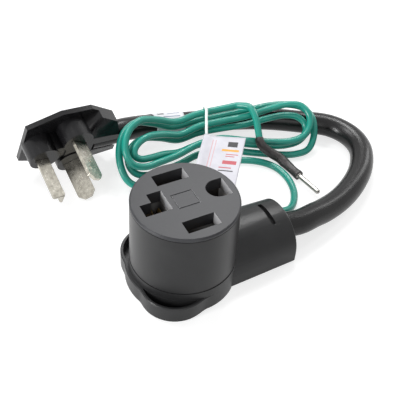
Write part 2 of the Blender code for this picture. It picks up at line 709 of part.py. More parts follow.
cut(moulding, block("hollow_hot", (-0.0045, -HOT_S, CAVITY_B[0]), (0.0045, HOT_S, CAVITY_B[1]), plug),
    block("hollow_neutral", (LOBE_C, -0.0045, CAVITY_B[0]), (0.0, 0.0045, CAVITY_B[1]), plug),
    prism("hollow_cord", both_sides(((0.0, HOT_S), (0.0045, HOT_S), (0.0100, CAVITY_R),
                                     (PLUG_CORD_IN + 0.001, CAVITY_R))), CAVITY_B[0], CAVITY_B[1], plug),
    along_x("plug_bore", CORD_D / 2 + GAP, PLUG_CORD_IN - 0.001, PLATE_C[3] + 0.003, 0.0, PLUG_CORD_B,
            plug, count=32))


def turned_outline(outline, c, s, degrees):
    a = radians(degrees)
    return [(c + x * cos(a) - y * sin(a), s + x * sin(a) + y * cos(a)) for x, y in outline]


def bar(width, thick, c, s, degrees):
    half = (width / 2, thick / 2)
    outline = ((-half[0], -half[1]), (half[0], -half[1]), (half[0], half[1]), (-half[0], half[1]))
    return turned_outline(outline, c, s, degrees)


def ell_bar(grow=0.0, trim=0.0):
    """L-shaped blade section, legs along -X and -Y of the corner."""
    c0 = ELL_BLADE_C[0] + trim
    c1 = ELL_BLADE_C[1]
    s1 = ELL_BLADE_S + 2 * trim
    t = BLADE_T / 2
    g = grow
    return ((c0 - g, -t - g), (c1 - BLADE_T - g, -t - g), (c1 - BLADE_T - g, s1 - g),
            (c1 + g, s1 - g), (c1 + g, t + g), (c0 - g, t + g))


hot_blades = (("x", -HOT_S, BLADE_TILT), ("y", HOT_S, -BLADE_TILT))
for name, s, tilt in hot_blades:
    way = bar(BLADE_W + 2 * GAP, BLADE_T + 2 * GAP, 0.0, s, tilt)
    cut(moulding, prism("blade_way_" + name, way, -0.004, 0.002, plug))
cut(moulding, prism("blade_way_l", ell_bar(GAP), -0.004, 0.002, plug))

# rigid bridge that holds the blades
bridge_top = CAVITY_B[1] - GAP
bridge_low = bridge_top - BRIDGE_T
disc = [(CAVITY_R - GAP, bridge_low), (CAVITY_R - GAP, bridge_top)]
bridge = turned("plug_bridge", disc, plug, BAKELITE, x=LOBE_C, count=32)
join(bridge, block("bridge_stem", (LOBE_C, -0.0042, bridge_low), (0.0, 0.0042, bridge_top), plug),
     turned("bridge_b", disc, plug, y=-HOT_S, count=32),
     turned("bridge_c", disc, plug, y=HOT_S, count=32),
     block("bridge_bar", (-0.0042, -HOT_S, bridge_low), (0.0042, HOT_S, bridge_top), plug))


def straight_blade(name, s, tilt):
    top = BLADE_L
    neck_b = bridge_top + GAP
    half = BLADE_W / 2
    tail = BLADE_TAIL_W / 2
    shape = ((-tail, -BLADE_TAIL), (tail, -BLADE_TAIL), (tail, neck_b), (half, neck_b),
             (half, top - BLADE_TIP), (half - BLADE_TIP, top), (BLADE_TIP - half, top),
             (-half, top - BLADE_TIP), (-half, neck_b), (-tail, neck_b))
    rings = []
    for side in (-BLADE_T / 2, BLADE_T / 2):
        plan = turned_outline([(w, side) for w, b in shape], 0.0, s, tilt)
        rings.append([(c, d, b) for (c, d), (w, b) in zip(plan, shape)][::-1])
    blade = solid(name, rings, plug, NICKEL)
    a = radians(tilt)
    dents = []
    for w, b in ((0.0, DIMPLE_B), (-0.0022, DIMPLE_B + 0.0045)):
        for side in (-1, 1):
            off = side * BLADE_T / 2
            at = (w * cos(a) - off * sin(a), s + w * sin(a) + off * cos(a), b)
            dent = solid(name + "_dent", [circle(DIMPLE_R, z, count=12) for z in (-0.0004, 0.0004)], plug)
            dent.location = at
            dent.rotation_euler = (pi / 2, 0, a)
            dents.append(dent)
    cut(blade, *dents)
    cut(bridge, prism(name + "_seat", bar(BLADE_TAIL_W + 2 * GAP, BLADE_T + 2 * GAP, 0.0, s, tilt),
                      -0.009, 0.0, plug))
    return blade


for name, s, tilt in hot_blades:
    straight_blade("hot_blade_" + name, s, tilt)
ell_blade = solid("neutral_blade", [[(c, s, bridge_top + GAP) for c, s in ell_bar()],
                                    [(c, s, BLADE_L - ELL_TIP) for c, s in ell_bar()],
                                    [(c, s, BLADE_L) for c, s in ell_bar(-ELL_TIP / 2)]], plug, NICKEL)
join(ell_blade, prism("neutral_tail", ell_bar(0.0, ELL_TRIM), -BLADE_TAIL, bridge_top + 0.002, plug))
cut(bridge, prism("neutral_seat", ell_bar(GAP, ELL_TRIM), -0.009, 0.0, plug))

# leads inside the plug
plug_lead_b = PLUG_CORD_B - PLUG_CORE_DROP
lead_c0 = PLUG_CORD_IN - GAP
for name, side, look in (("x", -1, BLACK), ("y", 1, RED)):
    end = (BLADE_TAIL_W / 2 + GAP) * cos(radians(BLADE_TILT))
    end_s = HOT_S - (BLADE_TAIL_W / 2 + GAP) * sin(radians(BLADE_TILT))
    lead = ((lead_c0, side * CORE_Y, plug_lead_b), (lead_c0 - 0.0018, side * CORE_Y, plug_lead_b),
            (0.0068, side * 0.0052, plug_lead_b), (end, side * end_s, plug_lead_b))
    tube("plug_lead_" + name, smooth_line(lead, 0.0024), LEAD_D, plug, look, 2)
lead_top_b = PLUG_CORD_B + PLUG_CORE_RISE
lead = ((lead_c0, 0.0, lead_top_b), (lead_c0 - 0.0020, 0.0, lead_top_b), (0.0078, 0.0, -0.0068),
        (0.0046, 0.0, -0.0085), (-0.0040, -0.0010, plug_lead_b), (-0.0110, -0.0016, plug_lead_b),
        (ELL_BLADE_C[1] + GAP, -0.0020, plug_lead_b))
tube("plug_lead_neutral", smooth_line(lead, 0.003), LEAD_D, plug, WHITE, 2)

# ---- cords ----
spin = Euler([radians(a) for a in PLUG_TURN]).to_matrix()


def from_plug(c, s, b):
    return tuple(np.array(PLUG_AT) + np.array(spin) @ np.array((c, s, b)))


cord_route = ((JACKET_X, EXIT_Y, EXIT_Z), (0.045, EXIT_Y, EXIT_Z), *CORD_ROUTE,
              from_plug(PLATE_C[3] + 0.0105, 0.0, PLUG_CORD_B), from_plug(PLATE_C[3], 0.0, PLUG_CORD_B),
              from_plug(PLUG_CORD_IN + 0.005, 0.0, PLUG_CORD_B), from_plug(PLUG_CORD_IN, 0.0, PLUG_CORD_B))
cord = smooth_line(cord_route, 0.001)
tube("main_cord", stretch(cord, 0, run_length(cord), CORD_D / 2), CORD_D, socket, BLACK, 4)
middle = run_length(cord) / 2
reach = np.linspace(0, run_length(cord), len(cord))
label_mid = min((abs(p[0] - LABEL_AT), r) for p, r in zip(cord, reach) if r > middle)[1]
wrap("cord_label", stretch(cord, label_mid - LABEL_L / 2, label_mid + LABEL_L / 2, 0.003),
     CORD_D / 2 + GAP + LABEL_T, CORD_D / 2 + GAP, socket, WHITE, 24)

hank = hank_line(cord)
print("hank least gap to itself, mm:", round(self_gap(hank, WIRE_D) * 1000, 3))
tube("ground_hank", hank, WIRE_D, socket, GREEN, 1)
entry = (hank[0] - hank[1]) / np.linalg.norm(hank[0] - hank[1])
wire = smooth_line(((WIRE_IN_X + GAP, WIRE_EXIT_Y, EXIT_Z), (0.050, WIRE_EXIT_Y, EXIT_Z), *WIRE_ROUTE,
                    hank[0] + entry * WIRE_D, hank[0] + entry * GAP), 0.001)
tube("ground_wire", stretch(wire, 0, run_length(wire), WIRE_D), WIRE_D, socket, GREEN, 2)

leave = (hank[-1] - hank[-2]) / np.linalg.norm(hank[-1] - hank[-2])
pin_dir = np.array(TAIL_ROUTE[-1]) - np.array(TAIL_ROUTE[-2])
pin_dir /= np.linalg.norm(pin_dir)
pin_dir[2] = 0.0
pin_root = np.array(TAIL_ROUTE[-1])
tail = smooth_line((hank[-1] + leave * GAP, hank[-1] + leave * WIRE_D, *TAIL_ROUTE,
                    pin_root + pin_dir * PIN_L / 2, pin_root + pin_dir * PIN_L), 0.0005)
tail_l = run_length(tail)
shrink_end = tail_l - PIN_L
wire_end = shrink_end - PIN_BARREL_L - 2 * GAP
tube("ground_tail", stretch(tail, 0, wire_end, WIRE_D), WIRE_D, socket, GREEN, 2)
shrink_line = stretch(tail, shrink_end - SHRINK_L, shrink_end, 0.0035)
shrink_r = WIRE_D / 2 + GAP + SHRINK_T
wrap("heat_shrink", shrink_line, shrink_r, WIRE_D / 2 + GAP, socket, BLACK, 16)
pin_line = stretch(tail, wire_end + GAP, tail_l, 0.002)
pin_start = pin_line[0]
pin_axis = tail[-1] - pin_start
pin_turn = pin_axis / np.linalg.norm(pin_axis)
pin_side = np.cross(pin_turn, (0.0, 0.0, 1.0))
pin_side /= np.linalg.norm(pin_side)
pin_over = np.cross(pin_side, pin_turn)
pin_profile = ((0.0, PIN_BARREL_R), (PIN_BARREL_L, PIN_BARREL_R), (PIN_BARREL_L + 0.0006, PIN_R),
               (tail_l - wire_end - 0.0012, PIN_R), (tail_l - wire_end - GAP, PIN_R * 0.5))
solid("crimp_pin", [[pin_start + pin_turn * at + r * (cos(2 * pi * i / 20) * pin_side
                     + sin(2 * pi * i / 20) * pin_over) for i in range(20)]
                    for at, r in pin_profile], socket, NICKEL)

# ---- tie and tag ----
tag_axes = np.array(Euler([radians(a) for a in TAG_TURN]).to_matrix())
across, back, above = tag_axes[:, 0], tag_axes[:, 1], tag_axes[:, 2]
waist_a = radians(HANK_TURN)
waist_u = np.array((cos(waist_a), sin(waist_a), 0.0))
waist_v = np.array((-sin(waist_a), cos(waist_a), 0.0))
waist = np.array((*HANK_AT, 0.0))
crossings = []
for a, b in zip(hank[:-1], hank[1:]):
    ua = np.dot(a - waist, waist_u)
    ub = np.dot(b - waist, waist_u)
    if ua * ub < 0:
        p = a + (b - a) * ua / (ua - ub)
        crossings.append((float(np.dot(p - waist, waist_v)), float(p[2])))


def hull(points):
    """Convex hull, anticlockwise."""
    points = sorted(points)
    chains = []
    for row in (points, points[::-1]):
        chain = []
        for p in row:
            while len(chain) > 1 and ((chain[-1][0] - chain[-2][0]) * (p[1] - chain[-2][1])
                                      - (chain[-1][1] - chain[-2][1]) * (p[0] - chain[-2][0])) <= 0:
                chain.pop()
            chain.append(p)
        chains += chain[:-1]
    return chains


def belt(points, offset):
    """Line round a hull at an even offset, one arc a corner."""
    arcs = []
    for i, p in enumerate(points):
        q = points[i - 1]
        n = points[(i + 1) % len(points)]
        a0 = np.arctan2(-(p[0] - q[0]), p[1] - q[1])
        a1 = np.arctan2(-(n[0] - p[0]), n[1] - p[1])
        turn = (a1 - a0) % (2 * pi)
        steps = max(2, int(turn / 0.45) + 1)
        angles = [a0 + turn * k / (steps - 1) for k in range(steps)]
        arcs.append([(p[0] + offset * cos(a), p[1] + offset * sin(a)) for a in angles])
    return arcs


ring = belt(hull(crossings), WIRE_D / 2 + 2 * GAP + TIE_D / 2)
print("waist strands, mm:", [(round(v * 1000, 1), round(z * 1000, 1)) for v, z in crossings])
corner = max(range(len(ring)), key=lambda k: ring[k][0][1] - ring[k][0][0])
turned_ring = []
for k in range(1, len(ring)):
    turned_ring += ring[corner - k][::-1]
turned_ring.append(ring[corner][-1])
round_waist = [waist + v * waist_v + np.array((0.0, 0.0, z)) for v, z in turned_ring]


def twist(side):
    """One of the two ends, twisted down the tail from the top."""
    line = []
    steps = int(TIE_TAIL / TIE_PITCH * 7)
    for i in range(steps + 1):
        s = TIE_TAIL * i / steps
        a = 2 * pi * s / TIE_PITCH
        spot = np.array(TAG_AT) - back * s
        line.append(spot + side * TIE_TWIST * (cos(a) * above + sin(a) * across))
    return line


tie = twist(1)[::-1] + round_waist + twist(-1)
tube("twist_tie", tie, TIE_D, socket, WHITE, 2)

tag_hinge = frame_at("tag_hinge", TAG_AT, TAG_TURN, socket)
fold_in = TIE_TWIST + TIE_D / 2 + GAP
fold_out = fold_in + TAG_T


def along_y(name, radius, y0, y1, look=None):
    rings = [[(radius * cos(2 * pi * i / 24), y, radius * sin(2 * pi * i / 24)) for i in range(24)]
             for y in (y0, y1)]
    return solid(name, rings, tag_hinge, look)


tag_low = -TAG_START - TAG_L
tag = along_y("tag", fold_out, tag_low, -TAG_START, WHITE)
join(tag, block("tag_leaf", (fold_in + TAG_T / 2, tag_low, -TAG_T / 2), (TAG_W, -TAG_START, TAG_T / 2),
                tag_hinge))
cut(tag, along_y("tag_bore", fold_in, tag_low - 0.002, 0.001))

print("main cord length, m:", round(run_length(cord), 4))
print("green wire length, m:", round(run_length(wire) + run_length(hank) + run_length(tail), 4))
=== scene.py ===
"""Looks of the adapter cord: camera, lights, cords, tie, tag and materials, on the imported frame."""
import json
from math import ceil, cos, exp, pi, radians, sin, sqrt

import bmesh
import bpy
import numpy as np
from mathutils import Euler, Matrix, Vector

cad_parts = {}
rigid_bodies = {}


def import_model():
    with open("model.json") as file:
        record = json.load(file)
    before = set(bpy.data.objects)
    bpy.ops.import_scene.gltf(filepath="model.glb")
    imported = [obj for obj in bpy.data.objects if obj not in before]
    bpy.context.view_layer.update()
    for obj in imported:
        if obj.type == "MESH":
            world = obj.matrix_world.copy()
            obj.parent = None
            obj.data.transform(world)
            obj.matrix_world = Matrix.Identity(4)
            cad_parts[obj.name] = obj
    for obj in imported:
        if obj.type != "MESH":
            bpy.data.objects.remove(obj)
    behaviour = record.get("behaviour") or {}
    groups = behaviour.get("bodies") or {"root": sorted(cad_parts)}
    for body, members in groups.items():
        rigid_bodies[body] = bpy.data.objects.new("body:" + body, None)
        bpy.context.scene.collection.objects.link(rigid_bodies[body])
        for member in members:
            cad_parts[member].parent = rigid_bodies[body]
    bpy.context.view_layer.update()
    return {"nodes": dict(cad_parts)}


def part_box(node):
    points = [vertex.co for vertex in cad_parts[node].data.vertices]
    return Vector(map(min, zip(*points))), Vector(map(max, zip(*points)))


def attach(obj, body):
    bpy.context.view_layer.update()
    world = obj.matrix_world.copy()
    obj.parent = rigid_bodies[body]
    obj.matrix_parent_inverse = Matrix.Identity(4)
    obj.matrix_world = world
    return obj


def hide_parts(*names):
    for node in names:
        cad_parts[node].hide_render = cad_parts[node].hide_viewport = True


for old in list(bpy.data.objects):
    bpy.data.objects.remove(old, do_unlink=True)
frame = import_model()
nodes = frame["nodes"]
scene = bpy.context.scene
scene.view_settings.view_transform = "Standard"

# ---- sizes that the cords, tie and tag need, as the part has them, in metres and degrees ----
FACE_R = 0.0270
AXIS_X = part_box("socket_face")[0][0] + FACE_R  # the socket's axis in the row frame
GAP = 0.0003
CORD_D = 0.0140
WIRE_D = 0.0042
TIE_D = 0.0018
EXIT_Y = -0.0023
EXIT_Z = 0.0120
WIRE_EXIT_Y = 0.0087
JACKET_X = 0.0300
JACKET_BEND_X = 0.0450
WIRE_IN_X = 0.0380
WIRE_BEND_X = 0.0500
PLUG_AT = (-0.0245, 0.0904, 0.0200)
PLUG_TURN = (111.195, 7.781, 6.133)
PLATE_END_C = 0.0269
PLUG_CORD_B = -0.0074
PLUG_CORD_IN = 0.0120
PLUG_CORD_OUT = 0.0105  # straight run outside the plate's end
PLUG_CORD_STEP = 0.0050
HANK_AT = (0.0580, 0.0840)
HANK_TURN = -13.9
HANK_TURNS = 3.42
HANK_START = 231.6
HANK_POINTS = 24  # points in each turn
LAYER_TURNS = 2.0
CLIMB_TURNS = 0.5  # the hank climbs to its upper layer over this share of a turn
HANK_LEFT = 0.0480
HANK_RIGHT = 0.0600
HANK_STEP = 0.0050
HANK_WAIST = 0.0014
HANK_WAIST_STEP = 0.0056
HANK_SWELL = (0.0058, 0.0100)
HANK_SWELL_STEP = (0.0085, 0.0105)
HANK_SAG = (-0.0200, -0.0048)
SAG_POWER = 1.1
LAYER_RISE = 0.0074
LEAN = 0.90
LEAN_BLEND = 0.0030
TIE_LIFT_REACH = 0.0200  # the strands rise over the tie within this distance of the waist

# routes, relative to the socket's axis
CORD_ROUTE = ((0.059, -0.0023, 0.012), (0.070, -0.003, 0.011), (0.080, -0.001, 0.010),
              (0.089, 0.001, 0.0085), (0.104, 0.006, 0.0073), (0.119, 0.014, 0.0073),
              (0.132, 0.025, 0.0073), (0.141, 0.039, 0.0073), (0.142, 0.052, 0.0073),
              (0.136, 0.065, 0.0073), (0.121, 0.076, 0.0073), (0.101, 0.088, 0.0073),
              (0.083, 0.0955, 0.0073), (0.065, 0.1005, 0.0075), (0.050, 0.104, 0.0080),
              (0.037, 0.1055, 0.0095), (0.0245, 0.1042, 0.0135))
WIRE_ROUTE = ((0.059, WIRE_EXIT_Y, 0.012), (0.066, 0.0092, 0.0096), (0.074, 0.0125, 0.0056),
              (0.081, 0.019, 0.0030), (0.086, 0.027, 0.0024), (0.0885, 0.038, 0.0024),
              (0.0872, 0.0480, 0.0024), (0.0825, 0.0555, 0.0024), (0.0745, 0.0615, 0.0024),
              (0.0640, 0.0655, 0.0024), (0.0520, 0.0670, 0.0024), (0.0410, 0.0668, 0.0024),
              (0.0315, 0.0658, 0.0026))
TAIL_ROUTE = ((0.0822, 0.0862, 0.0245), (0.0849, 0.0828, 0.0254), (0.0855, 0.0785, 0.0245),
              (0.0848, 0.0725, 0.0215), (0.0832, 0.0662, 0.0172), (0.0820, 0.0608, 0.0136),
              (0.0868, 0.0572, 0.0082), (0.0914, 0.0536, 0.0052), (0.0934, 0.0478, 0.0038),
              (0.0943, 0.0415, 0.0036), (0.0952, 0.0357, 0.0036))
PIN_L = 0.0175
PIN_BARREL_L = 0.0060
SHRINK_L = 0.0370
TAG_AT = (0.0526, 0.0760, 0.0196)
TAG_TURN = (7.0, -5.7, -38.6)
TAG_START = 0.0015
TAG_L = 0.0400
TAG_W = 0.0240
LABEL_L = 0.0220
LABEL_T = 0.0004
LABEL_AT = 0.0400

# the tie's twisted ends: thinner and tighter than the part's, inside the same fold
TIE_TAIL = 0.0395
TIE_TWIST = 0.0006
TIE_PITCH = 0.0070
TIE_END_R = 0.00055
TWIST_POINTS = 16  # points in each pitch

# steps between the points of each line, and how finely the tubes are rounded
SPAN_POINTS = 24  # points between two points of a route
CORD_STEP = 0.0010
JACKET_STEP = 0.0030
WIRE_STEP = 0.0015
TAIL_STEP = 0.0005
CORD_ROUNDING = 10
WIRE_ROUNDING = 5
TIE_ROUNDING = 4

# ---- camera ----
SENSOR_MM = 36
FOCAL_SHARE = 1.9  # focal length over the frame's width
CLIP_NEAR = 0.01
CAM_AT = (-0.1380, -0.2313, 0.3050)
CAM_AZIMUTH = -29.6
CAM_ELEVATION = 43.88
CAM_ROLL = 3.90

az = radians(CAM_AZIMUTH)
el = radians(CAM_ELEVATION)
roll = radians(CAM_ROLL)
look = Vector((-sin(az) * cos(el), cos(az) * cos(el), -sin(el)))
right = Vector((cos(az), sin(az), 0))
up = right.cross(look)
cam_right = right * cos(roll) + up * sin(roll)
cam_up = up * cos(roll) - right * sin(roll)
cam_data = bpy.data.cameras.new("camera")
cam_data.sensor_width = SENSOR_MM
cam_data.lens = SENSOR_MM * FOCAL_SHARE
cam_data.clip_start = CLIP_NEAR
camera = bpy.data.objects.new("camera", cam_data)
scene.collection.objects.link(camera)
turn = Matrix((cam_right, cam_up, -look)).transposed()
camera.matrix_world = Matrix.Translation(CAM_AT) @ turn.to_4x4()
scene.camera = camera


# ---- lines ----
def reaches(line):
    """Distance along the line to each of its points."""
    return np.concatenate([[0], np.cumsum(np.linalg.norm(np.diff(line, axis=0), axis=1))])


def stretch(line, start, end, step):
    """Part of a line between two distances along it, in even steps."""
    at = np.linspace(start, end, max(2, int(ceil((end - start) / step)) + 1))
    reach = reaches(line)
    return np.stack([np.interp(at, reach, line[:, i]) for i in range(3)], axis=1)


def even(line, step):
    """The whole line in even steps."""
    line = np.array(line)
    return stretch(line, 0, reaches(line)[-1], step)


def smooth_line(route, step):
    """Centripetal Catmull-Rom curve through the route, resampled evenly."""
    p = np.array(route, dtype=float)
    p = np.vstack([2 * p[0] - p[1], p, 2 * p[-1] - p[-2]])
    fine = []
    for a, b, c, d in zip(p[:-3], p[1:-2], p[2:-1], p[3:]):
        t1 = sqrt(np.linalg.norm(b - a))
        t2 = t1 + sqrt(np.linalg.norm(c - b))
        t3 = t2 + sqrt(np.linalg.norm(d - c))
        for t in np.linspace(t1, t2, SPAN_POINTS, endpoint=False):
            ab = a + (b - a) * t / t1
            bc = b + (c - b) * (t - t1) / (t2 - t1)
            cd = c + (d - c) * (t - t2) / (t3 - t2)
            abc = ab + (bc - ab) * t / t2
            bcd = bc + (cd - bc) * (t - t1) / (t3 - t1)
            fine.append(abc + (bcd - abc) * (t - t1) / (t2 - t1))
    fine.append(p[-2])
    return even(fine, step)


def run_length(line):
    return float(np.sum(np.linalg.norm(np.diff(line, axis=0), axis=1)))


def lean_height(x, y, cord):
    """Height of a strand that rests on the table or leans on the cord beside it."""
    ride = CORD_D / 2 + WIRE_D / 2 + TIE_D + 2 * GAP
    d = np.hypot(cord[:, 0] - x, cord[:, 1] - y)
    near = ride * LEAN / sqrt(1 + LEAN ** 2)
    over = np.sqrt(np.maximum(ride ** 2 - np.minimum(d, near) ** 2, 0))
    top = np.max(cord[:, 2] + over - LEAN * np.maximum(d - near, 0))
    off = np.hypot(x - HANK_AT[0], y - HANK_AT[1])
    low = WIRE_D / 2 + GAP + (TIE_D + 4 * GAP) * exp(-(off / TIE_LIFT_REACH) ** 2)
    return low + (top - low + sqrt((top - low) ** 2 + LEAN_BLEND ** 2)) / 2


def hank_point(n, cord):
    """Centre of the hank's wire after n turns."""
    ring = abs(LAYER_TURNS - n)
    t = radians(HANK_START) - 2 * pi * n
    side = 0 if cos(t) < 0 else 1
    u = ((HANK_LEFT, HANK_RIGHT)[side] + HANK_STEP * ring) * cos(t)
    swell = HANK_SWELL[side] + HANK_SWELL_STEP[side] * ring
    v = sin(t) * (HANK_WAIST + HANK_WAIST_STEP * ring + swell * cos(t) ** 2)
    v += HANK_SAG[side] * abs(cos(t)) ** SAG_POWER
    a = radians(HANK_TURN)
    x = HANK_AT[0] + u * cos(a) - v * sin(a)
    y = HANK_AT[1] + u * sin(a) + v * cos(a)
    climb = min(max((n - LAYER_TURNS + CLIMB_TURNS / 2) / CLIMB_TURNS, 0), 1)
    return np.array([x, y, lean_height(x, y, cord) + LAYER_RISE * climb * climb * (3 - 2 * climb)])


def hank_line(cord):
    """The whole hank, with a short straight run before and after it."""
    steps = int(HANK_TURNS * HANK_POINTS)
    line = [hank_point(HANK_TURNS * i / steps, cord) for i in range(steps + 1)]
    first = line[0] - line[1]
    last = line[-1] - line[-2]
    line.insert(0, line[0] + first / np.linalg.norm(first) * WIRE_D)
    line.append(line[-1] + last / np.linalg.norm(last) * WIRE_D)
    return np.array(line)


spin = np.array(Euler([radians(a) for a in PLUG_TURN]).to_matrix())


def from_plug(c, s, b):
    """A point of the plug: c runs to its cord, s across the plate, b along the blades."""
    return tuple(np.array(PLUG_AT) + spin @ np.array((c, s, b)))


def placed(points):
    """Points moved from the socket's axis to the row frame."""
    return np.array(points) + np.array((AXIS_X, 0.0, 0.0))


def tube(name, points, diameter, rounding):
    """Round line; each point carries the real radius, so that the curve's own box is true."""
    curve = bpy.data.curves.new(name, "CURVE")
    curve.dimensions = "3D"
    curve.bevel_depth = 1.0
    curve.bevel_resolution = rounding
    curve.use_fill_caps = True
    spline = curve.splines.new("POLY")
    spline.points.add(len(points) - 1)
    for point, at in zip(spline.points, points):
        point.co = (*at, 1)
        point.radius = diameter / 2
    spline.use_smooth = True
    obj = bpy.data.objects.new(name, curve)
    scene.collection.objects.link(obj)
    return obj


# ---- cords ----
cord_route = ((JACKET_X, EXIT_Y, EXIT_Z), (JACKET_BEND_X, EXIT_Y, EXIT_Z), *CORD_ROUTE,
              from_plug(PLATE_END_C + PLUG_CORD_OUT, 0.0, PLUG_CORD_B),
              from_plug(PLATE_END_C, 0.0, PLUG_CORD_B),
              from_plug(PLUG_CORD_IN + PLUG_CORD_STEP, 0.0, PLUG_CORD_B),
              from_plug(PLUG_CORD_IN, 0.0, PLUG_CORD_B))
cord_line = smooth_line(cord_route, CORD_STEP)
jacket = tube("jacket", placed(even(cord_line, JACKET_STEP)), CORD_D, CORD_ROUNDING)
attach(jacket, "adapter")
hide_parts("main_cord")

# the CAD hank's own points keep the tube in place; the smooth line rounds the loops between them
hank = hank_line(cord_line)
fine_hank = smooth_line(hank, WIRE_STEP)
entry = (hank[0] - hank[1]) / np.linalg.norm(hank[0] - hank[1])
leave = (hank[-1] - hank[-2]) / np.linalg.norm(hank[-1] - hank[-2])
wire_line = smooth_line(((WIRE_IN_X + GAP, WIRE_EXIT_Y, EXIT_Z),
                         (WIRE_BEND_X, WIRE_EXIT_Y, EXIT_Z), *WIRE_ROUTE,
                         hank[0] + entry * WIRE_D, hank[0] + entry * GAP), WIRE_STEP)
pin_root = np.array(TAIL_ROUTE[-1])
pin_dir = pin_root - np.array(TAIL_ROUTE[-2])
pin_dir /= np.linalg.norm(pin_dir)
pin_dir[2] = 0.0
tail_line = smooth_line((hank[-1] + leave * GAP, hank[-1] + leave * WIRE_D, *TAIL_ROUTE,
                         pin_root + pin_dir * PIN_L / 2, pin_root + pin_dir * PIN_L), TAIL_STEP)
tail_l = run_length(tail_line)
shrink_end = tail_l - PIN_L
wire_end = shrink_end - PIN_BARREL_L - 2 * GAP
green_line = np.vstack([wire_line[:-1], fine_hank, stretch(tail_line, 0, wire_end, WIRE_STEP)[1:]])
green = tube("green_wire", placed(green_line), WIRE_D, WIRE_ROUNDING)
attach(green, "adapter")
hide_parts("ground_wire", "ground_hank", "ground_tail")


# ---- node materials ----
def add(tree, kind, **values):
    """A new node; each value goes to the socket or the setting of that name."""
    made = tree.nodes.new(kind)
    for key, value in values.items():
        if key in made.inputs:
            made.inputs[key].default_value = value
        else:
            setattr(made, key, value)
    return made


def combine(tree, operation, a, b):
    both = add(tree, "ShaderNodeMath", operation=operation)
    tree.links.new(a, both.inputs[0])
    tree.links.new(b, both.inputs[1])
    return both.outputs[0]


def colour(value):
    return (*value, 1.0)


RAMP_DARK = 0.30  # shares of the noise where the tint turns fully dark and fully light
RAMP_LIGHT = 0.70
SCUFF_FROM = 0.60  # shares of the noise where a scuff starts and where it is full
SCUFF_FULL = 0.75
SCUFF_FINER = 6  # scuffs are this many times finer than the mottling
SCUFF_GAIN = 2.2
SCUFF_LIFT = 0.02


def finish(name, dark, light, rough, spread=0.06, blotch=60.0, grain=2500.0, depth=0.00002,
           metallic=0.0, stretched=(1.0, 1.0, 1.0), turned=(0.0, 0.0, 0.0), coords="Object",
           scuff=0.0, **sockets):
    """Material with mottled colour, uneven gloss, fine surface grain and optional pale scuffs."""
    mat = bpy.data.materials.new(name)
    mat.use_nodes = True
    tree = mat.node_tree
    shader = tree.nodes["Principled BSDF"]
    shader.inputs["Metallic"].default_value = metallic
    for key, value in sockets.items():
        shader.inputs[key].default_value = value
    place = add(tree, "ShaderNodeTexCoord")
    lay = add(tree, "ShaderNodeMapping", Scale=stretched, Rotation=turned)
    tree.links.new(place.outputs[coords], lay.inputs["Vector"])
    wide = add(tree, "ShaderNodeTexNoise", Scale=blotch, Detail=4.0, Roughness=0.6)
    fine = add(tree, "ShaderNodeTexNoise", Scale=grain, Detail=2.0, Roughness=0.5)
    tree.links.new(lay.outputs["Vector"], wide.inputs["Vector"])
    tree.links.new(lay.outputs["Vector"], fine.inputs["Vector"])
    tint = add(tree, "ShaderNodeValToRGB")
    tint.color_ramp.elements[0].position = RAMP_DARK
    tint.color_ramp.elements[0].color = colour(dark)
    tint.color_ramp.elements[1].position = RAMP_LIGHT
    tint.color_ramp.elements[1].color = colour(light)
    tree.links.new(wide.outputs["Fac"], tint.inputs["Fac"])
    paint = tint.outputs["Color"]
    gloss = add(tree, "ShaderNodeMapRange")
    gloss.inputs["To Min"].default_value = rough - spread
    gloss.inputs["To Max"].default_value = rough + spread
    tree.links.new(wide.outputs["Fac"], gloss.inputs["Value"])
    if scuff:
        rub = add(tree, "ShaderNodeTexNoise", Scale=blotch * SCUFF_FINER, Detail=6.0,
                  Roughness=0.75, Distortion=1.5)
        tree.links.new(lay.outputs["Vector"], rub.inputs["Vector"])
        mask = add(tree, "ShaderNodeMapRange")
        mask.inputs["From Min"].default_value = SCUFF_FROM
        mask.inputs["From Max"].default_value = SCUFF_FULL
        mask.inputs["To Max"].default_value = scuff
        tree.links.new(rub.outputs["Fac"], mask.inputs["Value"])
        worn = add(tree, "ShaderNodeMix", data_type="RGBA")
        tree.links.new(mask.outputs["Result"], worn.inputs["Factor"])
        tree.links.new(paint, worn.inputs["A"])
        pale = [min(1.0, SCUFF_GAIN * v + SCUFF_LIFT) for v in light]
        worn.inputs["B"].default_value = colour(pale)
        paint = worn.outputs["Result"]
    tree.links.new(paint, shader.inputs["Base Color"])
    tree.links.new(gloss.outputs["Result"], shader.inputs["Roughness"])
    bump = add(tree, "ShaderNodeBump", Strength=1.0, Distance=depth)
    tree.links.new(fine.outputs["Fac"], bump.inputs["Height"])
    tree.links.new(bump.outputs["Normal"], shader.inputs["Normal"])
    return mat


GREY = ((0.016, 0.0162, 0.017), (0.023, 0.0232, 0.024))
FACE = ((0.032, 0.0325, 0.036), (0.048, 0.0488, 0.053))
PLUG = ((0.0060, 0.0058, 0.0066), (0.010, 0.0098, 0.011))
JACKET = ((0.0065, 0.0062, 0.0066), (0.011, 0.0108, 0.011))

SATIN = {"Specular IOR Level": 0.27}
DEEP = {"Specular IOR Level": 0.30}

